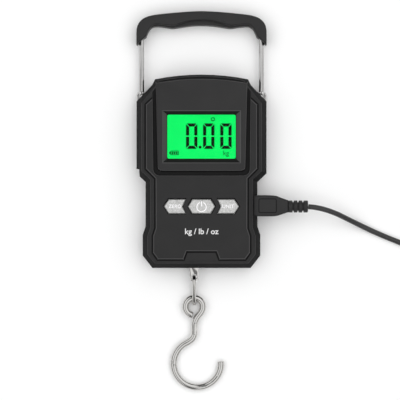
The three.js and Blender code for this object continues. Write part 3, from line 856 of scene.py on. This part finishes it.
# ---------------------------------------------------------------- pull tab, link and hook
# The tab is stamped steel, screwed to the load cell, and comes out of a slot in the bottom edge. A closed
# wire link hangs in its hole and carries an eye hook bent from thick bright wire.

nickel = metal("bright_nickel", (0.72, 0.71, 0.69), 0.1, spread=0.08, depth=0.002)
tab = weld("pull_tab", "steel_tab", nickel)
ease(tab, 0.2, 2, lambda edge: middle(edge).y < -44)
fit(tab, "casing", "plated_steel", "pull_tab")

CHAIN_X, LINK_WIRE, LINK_BEND, LINK_SPAN = -4.9, 1.25, 3.85, 11.7
upper_y, upper_z, lower_z = -53.75, 10.2, 5.15
link_tilt = math.asin((upper_z - lower_z) / LINK_SPAN)
lower_y = upper_y - LINK_SPAN * math.cos(link_tilt)


def tilted(points, y, z, tilt):
    """Points given from a pivot, turned down about the pivot and moved to its place."""
    cosine, sine = math.cos(tilt), math.sin(tilt)
    return [(CHAIN_X + px, y + py * cosine - pz * sine, z + py * sine + pz * cosine) for px, py, pz in points]


loop = [(0, y, z) for z, y in arc(0, 0, LINK_BEND, 0, 180, 14)]
loop += [(0, y - LINK_SPAN, z) for z, y in arc(0, 0, LINK_BEND, 180, 360, 14)]
link = wire("hook_link_wire", tilted(loop, upper_y, upper_z, link_tilt), LINK_WIRE, nickel, closed=True)
fit(link, "link", "bright_metal", "hook_link", smooth=60)

HOOK_WIRE, HOOK_EYE, HOOK_BEND, HOOK_CENTRE = 2.3, 5.8, 15.8, -108.3
hook_centre_y = HOOK_CENTRE - lower_y
hook_tilt = math.asin((lower_z - HOOK_WIRE) / (HOOK_BEND - hook_centre_y))
eye = arc(0, -HOOK_EYE, HOOK_EYE, -99, -370, 17)
shank = [(5.3, -8.2), (4.5, -9.7), (3.3, -11.3), (2, -13), (1, -14.9), (0.4, -17), (0.2, -21), (0.1, -24),
         (-0.9, -26.8), (-3.6, -29.2)]
bend = arc(2.1, hook_centre_y, HOOK_BEND, 125, 366, 26)
hook_line = [(x, y, 0) for x, y in smooth_line(eye + shank + bend, 4)]
hook = wire("wire_hook", tilted(hook_line, lower_y, lower_z, hook_tilt), HOOK_WIRE, nickel, facets=8)
ease(hook, 0.7, 3, lambda edge: any(len(face.verts) > 8 for face in edge.link_faces))
fit(hook, "hook", "bright_metal", "hook", smooth=60)


# ---------------------------------------------------------------- tape measure
# A steel tape, dished across and printed yellow with black divisions, winds on a sprung reel inside. Its
# end hook, riveted on, rests in a recess in the left side.

TAPE_THICKNESS, TAPE_DISH = 0.14, 0.55
DIGIT_SIZE, DIGIT_OFFSET = 2.4, -1.1
tape_low, tape_high, tape_middle = box_of("tape_blade")
tape_x, _, tape_z = tape_low
tape_y = tape_middle.y
tape_length = tape_high.x - tape_low.x
tape_half = (tape_high.y - tape_low.y) / 2

tape_yellow, shader, start = new_finish("tape_yellow", (0.85, 0.58, 0.02), 0.35)
place = start.node("TexCoord", out="Object")
along = (start.node("SeparateXYZ", sockets={0: place}, out=0) - tape_x * MM) * (1 / MM)
across = (start.node("SeparateXYZ", sockets={0: place}, out=1) - tape_y * MM) * (1 / MM)
edge_depth = tape_half - across.maths("ABSOLUTE", across)


def divisions(pitch, line, length):
    """Printed lines every so many millimetres, reaching in from the tape's edges."""
    phase = along.maths("FRACT", along * (1 / pitch))
    return (phase < line / pitch) * (edge_depth < length)


rules = divisions(1, 0.22, 1.2).maths("MAXIMUM", divisions(1, 0.22, 1.2), divisions(5, 0.26, 1.9))
rules = rules.maths("MAXIMUM", rules, divisions(10, 0.3, 2.4))
worn = start.node("TexNoise", None, {"Vector": place, "Scale": 500.0, "Detail": 3.0})
yellow = mixed(start, worn, (0.8, 0.5, 0.01), (0.9, 0.66, 0.03))
mixed(start, rules, yellow, (0.01, 0.01, 0.01)).feed(shader, "Base Color")
(0.28 + 0.14 * worn).feed(shader, "Roughness")

bpy.ops.object.select_all(action="DESELECT")
bpy.ops.mesh.primitive_grid_add(x_subdivisions=28, y_subdivisions=8, size=1)
tape = bpy.context.object
tape.name = "tape_strip"
tape.data.materials.append(tape_yellow)
edit(tape)
for corner in bmesh.from_edit_mesh(tape.data).verts:
    share = corner.co.x + 0.5
    dish = TAPE_DISH * (2 * corner.co.y) ** 2 * min(share * 6, 1)
    across_y = tape_y + corner.co.y * 2 * tape_half
    corner.co = Vector((tape_x + share * tape_length, across_y, tape_z + 0.1 + dish)) * MM
close()
thicken(tape, TAPE_THICKNESS, 0)
fit(tape, "tape", "yellow_tape", "tape_blade")
tape_ink = moulded("tape_ink", 0.008, 0.4, grain=0.2)
numbers = []
for number in range(1, 6):
    number_x = tape_x + 10 * number + DIGIT_OFFSET
    numbers.append(lettering("tape_number", str(number), DIGIT_SIZE, number_x, tape_y, tape_z + 0.2, 0.03,
                             tape_ink))
fit(joined(numbers, "tape_numbers"), "tape", "yellow_tape")
refinish("tape_roll", tape_yellow)

end_hook = weld("tape_end_hook", "tape_hook", steel)
ease(end_hook, 0.12, 2)
fit(end_hook, "tape", "plated_steel", "tape_end_hook")
rivet = [(2.4, 0), (2.4, 0.7), (3.9, 0.7), (3.9, 1.3), (4.1, 1.25), (4.35, 0.9), (4.5, 0.4), (4.52, 0)]
for number in (1, 2):
    place = box_of(f"tape_rivet_{number}")[2]
    piece = turned(f"tape_pin_{number}", rivet, (place.x, place.y, 0), (0, 0, 1), zinc, steps=20)
    fit(piece, "tape", "plated_steel", f"tape_rivet_{number}")


# ---------------------------------------------------------------- charging lead
# A thin round PVC lead. It leaves its strain relief level, comes down to the table and runs off to the
# right, where the rest of it is wound into a coil, two layers of three lanes, that ends at a type A plug.

LEAD_RADIUS = 1.75
COIL_X, COIL_Y = 166, -19.3
LANES = (22.75, 19.25, 15.75)
LANE_CHANGES = ((485, 0, 1), (845, 1, 2), (1565, 2, 1), (1925, 1, 0))
CHANGE_TURN, CLIMB_BEGIN = 100, 1105
COIL_BEGIN, COIL_STEP, COIL_POINTS = 245, 15, 128

lead_pvc = moulded("lead_pvc", 0.026, 0.3, grain=0.4, depth=0.006, specular=0.5)


def eased(share):
    """A share from 0 to 1 that starts and ends softly."""
    return 0.5 - 0.5 * math.cos(math.pi * min(max(share, 0), 1))


def coil_point(degrees):
    """A point of the coil. A change of lane takes about a quarter turn, and the inner lane climbs once."""
    radius = LANES[0]
    for begin, before, after in LANE_CHANGES:
        if degrees > begin:
            share = eased((degrees - begin) / CHANGE_TURN)
            radius = LANES[before] + (LANES[after] - LANES[before]) * share
    height = LEAD_RADIUS * (1 + 2 * eased((degrees - CLIMB_BEGIN) / CHANGE_TURN))
    angle = math.radians(degrees)
    return COIL_X + radius * math.cos(angle), COIL_Y + radius * math.sin(angle), height


route = [
    (70.6, -3.3, 16.8), (75, -3.8, 16.7), (80, -4.8, 16.1), (85, -6.3, 14.8), (90, -8.2, 12.7),
    (95, -10.5, 10), (100, -12.9, 7.2), (105, -15.3, 4.8), (110, -17.7, 3), (115, -20, 2.1),
    (120, -22.2, 1.8), (126, -24.7, 1.75), (132, -27.1, 1.75), (138, -29.7, 1.75), (142, -31.7, 1.75),
    (149, -36.0, 1.75),
]
route += [coil_point(COIL_BEGIN + COIL_STEP * i) for i in range(COIL_POINTS)]
route += [(188.75, -12, 5.2), (188.75, -5.6, 5), (188.75, -2, 4.6), (188.75, 1.7, 4.2)]

bpy.ops.curve.primitive_bezier_curve_add()
lead = bpy.context.object
lead.name = "charging_lead"
lead.data.splines.clear()
run = lead.data.splines.new("BEZIER")
run.bezier_points.add(len(route) - 1)
for knot, point in zip(run.bezier_points, route):
    knot.co = Vector(point) * MM
    knot.handle_left_type = knot.handle_right_type = "AUTO"
run.resolution_u = 5
lead.data.bevel_depth = LEAD_RADIUS * MM
lead.data.bevel_resolution = 5
lead.data.use_fill_caps = True
lead.data.materials.append(lead_pvc)
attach(lead, "lead")
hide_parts("usb_cord", "usb_coil", "usb_tail")


# ---------------------------------------------------------------- charging plugs
# A micro plug goes in the right side: a folded steel shell, a soft black overmould with a moulded pad for
# the thumb, and a ribbed strain relief. The far end has the same in the larger type A size.

soft_black = moulded("plug_pvc", 0.022, 0.5, grain=0.25, specular=0.25)
shell_steel = metal("plug_shell", (0.7, 0.7, 0.7), 0.24, spread=0.12, grain=(0.1, 1, 1))
refinish("usb_plug_shell", shell_steel)

PLUG_HALF, PLUG_ROUND = 4, 1.3
PAD_X, PAD_Y = 43.6, -2.7
CUT_POINT, CUT_FACING = (37.4, 0, 13), (11.5, 0, 3.4)
port_z = box_of("usb_overmould")[2].z
upper_side = smooth_line([(33, 4.3), (42, 4.3), (48.5, 4.0), (52.5, 2.6), (57.4, 0.9)], 4)
lower_side = smooth_line([(57.4, -7), (52.5, -8.6), (48.5, -9.6), (42, -9.7), (33, -9.6)], 4)
body = plate("micro_plug_body", upper_side + lower_side, port_z - PLUG_HALF, port_z + PLUG_HALF, soft_black,
             painted_shade_finish)
ease(body, PLUG_ROUND, 4, lambda edge: abs(abs(middle(edge).z - port_z) - PLUG_HALF) < 0.01)
pad_line = plate("pad_line", rounded(12, 9.6, 1.2, PAD_X, PAD_Y), port_z + 3.6, port_z + 5, soft_black,
                 painted_shade_finish)
pad = plate("pad", rounded(11, 8.6, 0.8, PAD_X, PAD_Y), port_z + 3, port_z + 6, soft_black, painted_shade_finish)
combine(pad_line, pad)
# The ring gets the painted shade finish, so the groove that it cuts round the pad is painted dark.
paint(pad_line, 1, lambda face: True)
combine(body, pad_line)
edit(body)
bpy.ops.mesh.bisect(plane_co=Vector(CUT_POINT) * MM, plane_no=CUT_FACING, use_fill=True, clear_inner=True)
close()
fit(body, "lead", "black_rubber", "usb_overmould")


def ribbed(length, radius, ribs, core):
    """The profile of a strain relief: round-edged ribs on a core."""
    pitch = length / ribs
    profile = [(0, 0)]
    for i in range(ribs):
        begin, end = i * pitch + (0.35 if i else 0), (i + 1) * pitch - (0.45 if i < ribs - 1 else 0)
        profile += [(begin, core), (begin, radius - 0.3), (begin + 0.3, radius), (end - 0.3, radius),
                    (end, radius - 0.3), (end, core)]
    return profile + [(length, LEAD_RADIUS), (length, 0)]


low, high, centre = box_of("usb_relief")
ribs = ribbed(high.x - low.x, radius=4, ribs=4, core=2.9)
relief = turned("micro_plug_relief", ribs, (low.x, centre.y, centre.z), (1, 0, 0), soft_black)
fit(relief, "lead", "black_rubber", "usb_relief")

low, high, centre = box_of("plug_a_relief")
ribs = ribbed(high.y - low.y, radius=3.2, ribs=3, core=2.3)
far_relief = turned("far_plug_relief", ribs, (centre.x, low.y, centre.z), (0, 1, 0), soft_black)
fit(far_relief, "lead", "black_rubber", "plug_a_relief")
far_body = weld("plug_a_overmould", "far_plug_body", soft_black)
ease(far_body, 0.6, 3)
fit(far_body, "lead", "black_rubber", "plug_a_overmould")

SHELL_WALL, BORE_LENGTH, BORE_FROM_END = 0.4, 11, 4
low, high, centre = box_of("plug_a_shell")
far_shell = weld("plug_a_shell", "far_plug_shell", shell_steel)
bpy.ops.mesh.primitive_cube_add(size=1)
bore = bpy.context.object
bore_size = Vector((high.x - low.x - 2 * SHELL_WALL, BORE_LENGTH, high.z - low.z - 2 * SHELL_WALL))
edit(bore)
bpy.ops.transform.resize(value=bore_size * MM)
bpy.ops.transform.translate(value=Vector((centre.x, high.y - BORE_FROM_END, centre.z)) * MM)
close()
combine(far_shell, bore)
ease(far_shell, 0.3, 2, lambda edge: abs(middle(edge).x - centre.x) > 5.8)
fit(far_shell, "lead", "bright_metal", "plug_a_shell")

tie = weld("coil_tie", "lead_tie", soft_black)
ease(tie, 0.25, 2)
fit(tie, "lead", "black_rubber", "coil_tie")
